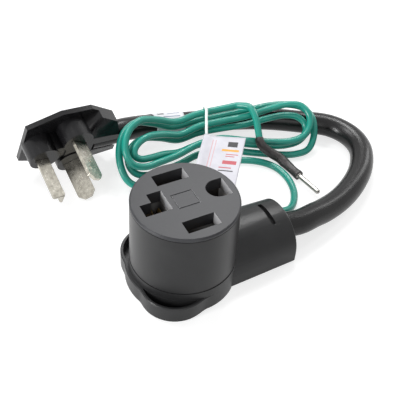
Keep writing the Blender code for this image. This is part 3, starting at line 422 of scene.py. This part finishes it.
shell_mat = finish("shell", *GREY, rough=0.36, grain=1900, depth=0.000012, scuff=0.10, **SATIN)
cover_mat = finish("cover", *GREY, rough=0.38, grain=1900, depth=0.000014, scuff=0.14, **SATIN)
face_mat = finish("face", *FACE, rough=0.42, grain=2300, depth=0.000014, scuff=0.16, **SATIN)
carrier_mat = finish("carrier", (0.014, 0.012, 0.011), (0.022, 0.019, 0.017), rough=0.5, grain=1500)
plug_mat = finish("plug_rubber", *PLUG, rough=0.25, grain=2600, depth=0.000016, scuff=0.12, **DEEP)
brass_mat = finish("brass", (0.62, 0.42, 0.15), (0.80, 0.60, 0.27), rough=0.30, metallic=1.0,
                   stretched=(1, 1, 0.1), blotch=300)
plug_inverse = Euler([radians(v) for v in PLUG_TURN]).to_matrix().inverted().to_euler()
nickel_mat = finish("nickel", (0.34, 0.32, 0.27), (0.56, 0.535, 0.47), rough=0.24, spread=0.10,
                    metallic=1.0, stretched=(1, 1, 0.12), turned=tuple(plug_inverse), blotch=420,
                    grain=5200, depth=0.00001, scuff=0.35)
pin_mat = finish("tin", (0.30, 0.29, 0.27), (0.44, 0.43, 0.405), rough=0.30, spread=0.08,
                 metallic=1.0, blotch=500, grain=3000, depth=0.00001)
jacket_mat = finish("jacket", *JACKET, rough=0.26, spread=0.05, coords="UV", stretched=(0.25, 5, 1),
                    blotch=6, grain=26, depth=0.00006, scuff=0.08, **DEEP)
green_mat = finish("green_pvc", (0.005, 0.225, 0.170), (0.012, 0.330, 0.255), rough=0.28,
                   spread=0.05, coords="UV", stretched=(1.5, 2, 1), blotch=14, grain=90)
red_mat = finish("red_pvc", (0.36, 0.02, 0.015), (0.46, 0.03, 0.02), rough=0.4)
black_mat = finish("black_pvc", (0.012, 0.012, 0.012), (0.02, 0.02, 0.02), rough=0.4)
white_mat = finish("white_pvc", (0.68, 0.68, 0.68), (0.78, 0.78, 0.78), rough=0.4)
lead_green_mat = finish("lead_green", (0.012, 0.270, 0.200), (0.018, 0.345, 0.262), rough=0.35)
shrink_mat = finish("shrink_sleeve", (0.018, 0.015, 0.015), (0.034, 0.029, 0.028), rough=0.42,
                    spread=0.10, blotch=260, grain=900, depth=0.00012)
tie_mat = finish("tie_plastic", (0.74, 0.80, 0.78), (0.86, 0.90, 0.89), rough=0.35, blotch=300)
label_mat = finish("label_film", (0.72, 0.72, 0.76), (0.82, 0.82, 0.85), rough=0.38, blotch=90,
                   grain=900)
film_mat = finish("tag_film", (0.55, 0.545, 0.60), (0.66, 0.655, 0.70), rough=0.58, blotch=110,
                  grain=1200, depth=0.00001)


def lay_over(tree, mask, ink):
    """Mixes a flat colour over what reaches the shader's base colour."""
    shader = tree.nodes["Principled BSDF"]
    under = shader.inputs["Base Color"].links[0].from_socket
    mix = add(tree, "ShaderNodeMix", data_type="RGBA")
    tree.links.new(mask, mix.inputs["Factor"])
    tree.links.new(under, mix.inputs["A"])
    mix.inputs["B"].default_value = colour(ink)
    tree.links.new(mix.outputs["Result"], shader.inputs["Base Color"])


def print_marks(mat, marks):
    """Flat printed marks, each (across from, to, along from, to, ink) in shares of the film."""
    tree = mat.node_tree
    place = add(tree, "ShaderNodeTexCoord")
    split = add(tree, "ShaderNodeSeparateXYZ")
    tree.links.new(place.outputs["UV"], split.inputs["Vector"])
    for x0, x1, y0, y1, ink in marks:
        tests = []
        for axis, low, high in (("X", x0, x1), ("Y", y0, y1)):
            test = add(tree, "ShaderNodeMath", operation="COMPARE")
            tree.links.new(split.outputs[axis], test.inputs[0])
            test.inputs[1].default_value = (low + high) / 2
            test.inputs[2].default_value = (high - low) / 2
            tests.append(test.outputs[0])
        lay_over(tree, combine(tree, "MULTIPLY", *tests), ink)


SLOT_REACH = 0.0240  # the slots lie within this distance of the socket's axis
SLOT_FACING = -0.8  # a wall counts when its normal's X lies below this
# painted highlight: pale colour for the slot walls that face away from the neck
SLOT_HIGHLIGHT_PAINT = (0.42, 0.42, 0.43)


def paint_slot_end_highlight(mat):
    """Painted highlight: slot walls that face away from the neck are painted pale in place of the
    light they catch.
    """
    tree = mat.node_tree
    place = add(tree, "ShaderNodeTexCoord")
    facing = add(tree, "ShaderNodeSeparateXYZ")
    tree.links.new(place.outputs["Normal"], facing.inputs["Vector"])
    turned = add(tree, "ShaderNodeMath", operation="LESS_THAN")
    tree.links.new(facing.outputs["X"], turned.inputs[0])
    turned.inputs[1].default_value = SLOT_FACING
    level = add(tree, "ShaderNodeVectorMath", operation="MULTIPLY")
    tree.links.new(place.outputs["Object"], level.inputs[0])
    level.inputs[1].default_value = (1.0, 1.0, 0.0)
    off_axis = add(tree, "ShaderNodeVectorMath", operation="DISTANCE")
    tree.links.new(level.outputs[0], off_axis.inputs[0])
    off_axis.inputs[1].default_value = (AXIS_X, 0.0, 0.0)
    inside = add(tree, "ShaderNodeMath", operation="LESS_THAN")
    tree.links.new(off_axis.outputs["Value"], inside.inputs[0])
    inside.inputs[1].default_value = SLOT_REACH
    lay_over(tree, combine(tree, "MULTIPLY", turned.outputs[0], inside.outputs[0]), SLOT_HIGHLIGHT_PAINT)


RED_INK = (0.50, 0.10, 0.12)
AMBER_INK = (0.78, 0.36, 0.05)
DARK_INK = (0.03, 0.03, 0.035)
PINK_INK = (0.62, 0.40, 0.43)
BLUE_INK = (0.20, 0.24, 0.34)
# painted highlight on the slot end walls of the face and the carrier
paint_slot_end_highlight(face_mat)
paint_slot_end_highlight(carrier_mat)
print_marks(film_mat, (
    (0.60, 0.84, 0.10, 0.20, DARK_INK), (0.48, 0.90, 0.25, 0.29, AMBER_INK),
    (0.60, 0.90, 0.34, 0.355, RED_INK), (0.60, 0.82, 0.38, 0.395, RED_INK),
    (0.20, 0.225, 0.08, 0.80, PINK_INK), (0.28, 0.30, 0.08, 0.62, PINK_INK),
    (0.56, 0.90, 0.47, 0.54, RED_INK), (0.50, 0.80, 0.60, 0.62, RED_INK),
    (0.50, 0.86, 0.66, 0.68, DARK_INK)))
print_marks(label_mat, (
    (0.40, 0.42, 0.15, 0.80, BLUE_INK), (0.46, 0.475, 0.12, 0.70, BLUE_INK),
    (0.52, 0.56, 0.60, 0.85, DARK_INK), (0.52, 0.535, 0.12, 0.50, BLUE_INK),
    (0.58, 0.60, 0.18, 0.66, BLUE_INK)))


# ---- frame pieces: finish and softened edges ----
WELD_REACH = 0.00001
EDGE_ANGLE = 32
SHELL_EDGE = 0.00025
FACE_EDGE = 0.00022
PLUG_EDGE = 0.0004
BLADE_EDGE = 0.00018
PIN_EDGE = 0.0001


def dress(name, mat, edge):
    obj = nodes[name]
    for part in obj.material_slots:
        part.material = mat
    for polygon in obj.data.polygons:
        polygon.use_smooth = True
    weld = obj.modifiers.new("weld", "WELD")
    weld.merge_threshold = WELD_REACH
    if edge:
        bevel = obj.modifiers.new("edge", "BEVEL")
        bevel.width = edge
        bevel.segments = 2
        bevel.limit_method = "ANGLE"
        bevel.angle_limit = radians(EDGE_ANGLE)
        bevel.harden_normals = True
    flat = obj.modifiers.new("normals", "WEIGHTED_NORMAL")
    flat.keep_sharp = True


for mat, edge, names in (
        (shell_mat, SHELL_EDGE, ("socket_body",)),
        (cover_mat, SHELL_EDGE, ("rear_cover",)),
        (face_mat, FACE_EDGE, ("socket_face",)),
        (carrier_mat, 0.0, ("contact_carrier", "plug_bridge")),
        (plug_mat, PLUG_EDGE, ("plug_body",)),
        (brass_mat, 0.0, ("hot_contact_x", "hot_contact_y", "neutral_contact", "ground_contact")),
        (nickel_mat, BLADE_EDGE, ("hot_blade_x", "hot_blade_y", "neutral_blade")),
        (pin_mat, PIN_EDGE, ("crimp_pin",)),
        (black_mat, 0.0, ("socket_lead_x", "plug_lead_x")),
        (red_mat, 0.0, ("socket_lead_y", "plug_lead_y")),
        (white_mat, 0.0, ("socket_lead_neutral", "plug_lead_neutral")),
        (lead_green_mat, 0.0, ("socket_lead_ground",))):
    for name in names:
        dress(name, mat, edge)
jacket.data.materials.append(jacket_mat)
green.data.materials.append(green_mat)


def mesh_piece(name, verts, faces, mat, body, replaced, uvs=None):
    """A smooth mesh that rides on a body and stands in for one node of the frame."""
    mesh = bpy.data.meshes.new(name)
    mesh.from_pydata([tuple(v) for v in verts], [], faces)
    if uvs is not None:
        layer = mesh.uv_layers.new(name="UVMap")
        for loop in mesh.loops:
            layer.data[loop.index].uv = uvs[loop.vertex_index]
    mesh.update()
    shape = bmesh.new()
    shape.from_mesh(mesh)
    bmesh.ops.recalc_face_normals(shape, faces=shape.faces)
    shape.to_mesh(mesh)
    shape.free()
    for polygon in mesh.polygons:
        polygon.use_smooth = True
    mesh.materials.append(mat)
    obj = bpy.data.objects.new(name, mesh)
    scene.collection.objects.link(obj)
    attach(obj, body)
    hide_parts(replaced)
    return obj


# ---- shrink sleeve: drawn down on the wire, full over the crimp, lipped at its end ----
# each row: share of the sleeve's length, radius
SHRINK_SHAPE = ((0.0, 0.00245), (0.02, 0.00268), (0.10, 0.00275), (0.30, 0.00280), (0.38, 0.00305),
                (0.62, 0.00310), (0.70, 0.00290), (0.80, 0.00272), (0.92, 0.00275), (0.96, 0.00298),
                (1.0, 0.00290))
SLEEVE_STEP = 0.0006
SLEEVE_SIDES = 28
WRINKLE = 0.00006
WRINKLE_WAVES = 34  # along the sleeve
WRINKLE_LOBES = 5  # round it
WRINKLE_SKEW = 9
FOOT_GAP = 0.0001  # between a skin's turned-in ends and what it wraps
shrink_line = stretch(tail_line, shrink_end - SHRINK_L, shrink_end, SLEEVE_STEP)


def skin(line, radius_at, sides, foot):
    """Round skin along a line, turned in to the foot radius at both ends; its seam lies below."""
    along = np.gradient(line, axis=0)
    along /= np.linalg.norm(along, axis=1)[:, None]
    out = np.cross(along[0], (0.0, 0.0, 1.0))
    verts = []
    uvs = []
    rows = [0, *range(len(line)), len(line) - 1]
    for number, i in enumerate(rows):
        out = out - along[i] * np.dot(out, along[i])
        out /= np.linalg.norm(out)
        over = np.cross(along[i], out)
        share = i / (len(line) - 1)
        for k in range(sides):
            a = pi / 2 + 2 * pi * k / sides
            r = foot if number in (0, len(rows) - 1) else radius_at(share, a)
            verts.append(line[i] + r * (cos(a) * out + sin(a) * over))
            uvs.append((k / sides, share))
    faces = []
    for i in range(len(rows) - 1):
        for k in range(sides):
            n = (k + 1) % sides
            faces.append((i * sides + k, i * sides + n, (i + 1) * sides + n, (i + 1) * sides + k))
    return verts, faces, uvs


def shrunk(share, a):
    """Radius of the sleeve, with fine wrinkles."""
    wrinkle = WRINKLE * sin(WRINKLE_LOBES * a + WRINKLE_SKEW * share)
    wrinkle *= sin(WRINKLE_WAVES * share + 2 * cos(a))
    return np.interp(share, *zip(*SHRINK_SHAPE)) + wrinkle


verts, faces, uvs = skin(shrink_line, shrunk, SLEEVE_SIDES, WIRE_D / 2 + FOOT_GAP)
sleeve = mesh_piece("sleeve", placed(verts), faces, shrink_mat, "adapter", "heat_shrink")

# ---- label: film wrapped round the main cord, beyond the cord's middle ----
LABEL_STEP = 0.0010
LABEL_SIDES = 40
LABEL_WAVE = 0.25  # share of the film's thickness that its surface waves by
middle = run_length(cord_line) / 2
reach = np.linspace(0, run_length(cord_line), len(cord_line))
label_mid = min((abs(p[0] - LABEL_AT), r) for p, r in zip(cord_line, reach) if r > middle)[1]
label_line = stretch(cord_line, label_mid - LABEL_L / 2, label_mid + LABEL_L / 2, LABEL_STEP)


def wrapped(share, a):
    """Radius of the label, slightly uneven round the cord."""
    wave = LABEL_WAVE * sin(3 * a + 2 * share)
    return CORD_D / 2 + GAP + LABEL_T * (1 - LABEL_WAVE + wave)


verts, faces, uvs = skin(label_line, wrapped, LABEL_SIDES, CORD_D / 2 + FOOT_GAP)
label = mesh_piece("wrap_label", placed(verts), faces, label_mat, "adapter", "cord_label", uvs)


# ---- tie: one strand round the waist of the hank, its ends twisted down inside the tag ----
ARC_STEP = 0.2  # radians between two points of the strand at a corner


def hull(points):
    """Convex hull, anticlockwise."""
    points = sorted(points)
    chains = []
    for row in (points, points[::-1]):
        chain = []
        for p in row:
            while len(chain) > 1 and ((chain[-1][0] - chain[-2][0]) * (p[1] - chain[-2][1])
                                      - (chain[-1][1] - chain[-2][1]) * (p[0] - chain[-2][0])) <= 0:
                chain.pop()
            chain.append(p)
        chains += chain[:-1]
    return chains


def belt(points, offset):
    """Line round a hull at an even offset, one arc a corner."""
    arcs = []
    for i, p in enumerate(points):
        q = points[i - 1]
        n = points[(i + 1) % len(points)]
        a0 = np.arctan2(-(p[0] - q[0]), p[1] - q[1])
        a1 = np.arctan2(-(n[0] - p[0]), n[1] - p[1])
        turn = (a1 - a0) % (2 * pi)
        steps = max(2, int(turn / ARC_STEP) + 1)
        angles = [a0 + turn * k / (steps - 1) for k in range(steps)]
        arcs.append([(p[0] + offset * cos(a), p[1] + offset * sin(a)) for a in angles])
    return arcs


tag_axes = np.array(Euler([radians(v) for v in TAG_TURN]).to_matrix())
across, back, above = tag_axes[:, 0], tag_axes[:, 1], tag_axes[:, 2]
waist_a = radians(HANK_TURN)
waist_u = np.array((cos(waist_a), sin(waist_a), 0.0))
waist_v = np.array((-sin(waist_a), cos(waist_a), 0.0))
waist = np.array((*HANK_AT, 0.0))
crossings = []
for a, b in zip(hank[:-1], hank[1:]):
    ua = np.dot(a - waist, waist_u)
    ub = np.dot(b - waist, waist_u)
    if ua * ub < 0:
        p = a + (b - a) * ua / (ua - ub)
        crossings.append((float(np.dot(p - waist, waist_v)), float(p[2])))
ring = belt(hull(crossings), WIRE_D / 2 + 2 * GAP + TIE_D / 2)
corner = max(range(len(ring)), key=lambda k: ring[k][0][1] - ring[k][0][0])
turned_ring = []
for k in range(1, len(ring)):
    turned_ring += ring[corner - k][::-1]
turned_ring.append(ring[corner][-1])
round_waist = [waist + v * waist_v + np.array((0.0, 0.0, z)) for v, z in turned_ring]


def twist(side):
    """One of the two ends, twisted down the tail from the top."""
    line = []
    steps = int(TIE_TAIL / TIE_PITCH * TWIST_POINTS)
    for i in range(steps + 1):
        s = TIE_TAIL * i / steps
        a = 2 * pi * s / TIE_PITCH
        spot = np.array(TAG_AT) - back * s
        line.append(spot + side * TIE_TWIST * (cos(a) * above + sin(a) * across))
    return line


tail = twist(1)
tie_line = tail[::-1] + round_waist + twist(-1)
tie = tube("tie_strand", placed(tie_line), TIE_D, TIE_ROUNDING)
tie.data.materials.append(tie_mat)
for i, point in enumerate(tie.data.splines[0].points):
    if i < len(tail) - 2 or i > len(tie_line) - len(tail) + 1:
        point.radius = TIE_END_R
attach(tie, "adapter")
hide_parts("twist_tie")

# ---- tag: one film folded round the tie, its two leaves glued, slightly bowed ----
tag_frame = Matrix.Translation((TAG_AT[0] + AXIS_X, TAG_AT[1], TAG_AT[2])) \
    @ Euler([radians(v) for v in TAG_TURN]).to_matrix().to_4x4()
FILM_T = 0.00012
FOLD_R = TIE_TWIST + TIE_END_R + 0.00015
FOLD_RUN = 0.0060  # the leaves close on each other over this width
TAG_BOW = 0.0009
TAG_ROWS = 24
LEAF_POINTS = 30  # across each leaf
FOLD_POINTS = 8  # round each half of the fold


def leaf_height(x):
    """Half the opening between the leaves, from the fold to where they are glued."""
    if x < 0:
        return sqrt(max(FOLD_R ** 2 - x ** 2, 0.0))
    share = min(x / FOLD_RUN, 1.0)
    return FILM_T + (FOLD_R - FILM_T) * (1 + cos(pi * share)) / 2


spread = [TAG_W * (1 - i / LEAF_POINTS) for i in range(LEAF_POINTS)]
spread += [-FOLD_R * sin(pi / 2 * i / FOLD_POINTS) for i in range(FOLD_POINTS + 1)]
profile = [(x, -leaf_height(x)) for x in spread]
profile += [(x, leaf_height(x)) for x in reversed(spread[:-1])]
verts = []
uvs = []
for j in range(TAG_ROWS + 1):
    y = -TAG_START - TAG_L * j / TAG_ROWS
    v = j / TAG_ROWS
    for x, z in profile:
        lift = TAG_BOW * (x / TAG_W) ** 2 * (2 * v - 1) ** 2 if x > 0 else 0.0
        verts.append(tag_frame @ Vector((x, y, z + lift)))
        uvs.append((x / TAG_W, v))
faces = []
width = len(profile)
for j in range(TAG_ROWS):
    for i in range(width - 1):
        near = j * width + i
        far = near + width
        faces.append((near, near + 1, far + 1, far))
film = mesh_piece("film_tag", verts, faces, film_mat, "tag", "tag", uvs)
thick = film.modifiers.new("thick", "SOLIDIFY")
thick.thickness = FILM_T
thick.offset = 0

# ---- light and floor: camera and mirror rays see white, all others the studio's level ----
WHITE_LEVEL = 1.0
LAMP_LEVEL = 0.30
FLOOR_BOUNCE = 0.80  # what the floor throws back on the object
FLOOR_SEEN = 0.45  # the floor that the camera sees: this diffuse keeps the shadow
FLOOR_GLOW = 0.72  # and this glow lifts it to white


def grey(level):
    return (level, level, level, 1)


def blend(tree, mask, a, b, surface):
    """Mixes two shaders by the mask and sends them to the surface."""
    pick = add(tree, "ShaderNodeMixShader")
    tree.links.new(mask, pick.inputs[0])
    tree.links.new(a.outputs[0], pick.inputs[1])
    tree.links.new(b.outputs[0], pick.inputs[2])
    tree.links.new(pick.outputs[0], surface.inputs["Surface"])


world = bpy.data.worlds.new("studio")
scene.world = world
world.use_nodes = True
tree = world.node_tree
tree.nodes.clear()
rays = add(tree, "ShaderNodeLightPath")
seen = combine(tree, "MAXIMUM", rays.outputs["Is Camera Ray"], rays.outputs["Is Glossy Ray"])
seen = combine(tree, "MAXIMUM", seen, rays.outputs["Is Transmission Ray"])
blend(tree, seen, add(tree, "ShaderNodeBackground", Color=grey(1), Strength=LAMP_LEVEL),
      add(tree, "ShaderNodeBackground", Color=grey(1), Strength=WHITE_LEVEL),
      add(tree, "ShaderNodeOutputWorld"))

floor_mat = bpy.data.materials.new("floor")
floor_mat.use_nodes = True
tree = floor_mat.node_tree
tree.nodes.clear()
rays = add(tree, "ShaderNodeLightPath")
seen = combine(tree, "MAXIMUM", rays.outputs["Is Camera Ray"], rays.outputs["Is Glossy Ray"])
shaded = add(tree, "ShaderNodeBsdfDiffuse", Color=grey(FLOOR_SEEN))
glow = add(tree, "ShaderNodeEmission", Color=grey(1), Strength=FLOOR_GLOW)
lifted = add(tree, "ShaderNodeAddShader")
tree.links.new(shaded.outputs[0], lifted.inputs[0])
tree.links.new(glow.outputs[0], lifted.inputs[1])
blend(tree, seen, add(tree, "ShaderNodeBsdfDiffuse", Color=grey(FLOOR_BOUNCE)), lifted,
      add(tree, "ShaderNodeOutputMaterial"))
FLOOR_HALF = 3.0
floor_mesh = bpy.data.meshes.new("floor")
corners = [(FLOOR_HALF * x, FLOOR_HALF * y, 0) for x, y in ((-1, -1), (1, -1), (1, 1), (-1, 1))]
floor_mesh.from_pydata(corners, [], [(0, 1, 2, 3)])
floor_mesh.materials.append(floor_mat)
floor = bpy.data.objects.new("floor", floor_mesh)
scene.collection.objects.link(floor)


def softbox(name, at, aim, size, watts):
    """A rectangular lamp at a place, aimed at a point of the object."""
    light = bpy.data.lights.new(name, "AREA")
    light.shape = "RECTANGLE"
    light.size = size[0]
    light.size_y = size[1]
    light.energy = watts
    obj = bpy.data.objects.new(name, light)
    obj.location = at
    obj.rotation_euler = (Vector(aim) - Vector(at)).to_track_quat("-Z", "Y").to_euler()
    scene.collection.objects.link(obj)


softbox("key", (-0.25, 0.50, 0.80), (0.02, 0.03, 0.0), (0.45, 0.30), 3.6)
softbox("top", (0.34, 0.52, 0.74), (0.03, 0.03, 0.02), (0.30, 0.14), 3.4)
softbox("left", (-0.85, -0.05, 0.28), (0.0, 0.03, 0.02), (0.14, 0.42), 6.0)
softbox("right", (0.70, 0.20, 0.45), (0.03, 0.03, 0.02), (0.15, 0.50), 1.3)
softbox("front", (-0.25, -0.75, 0.55), (0.0, 0.0, 0.02), (0.50, 0.30), 0.9)
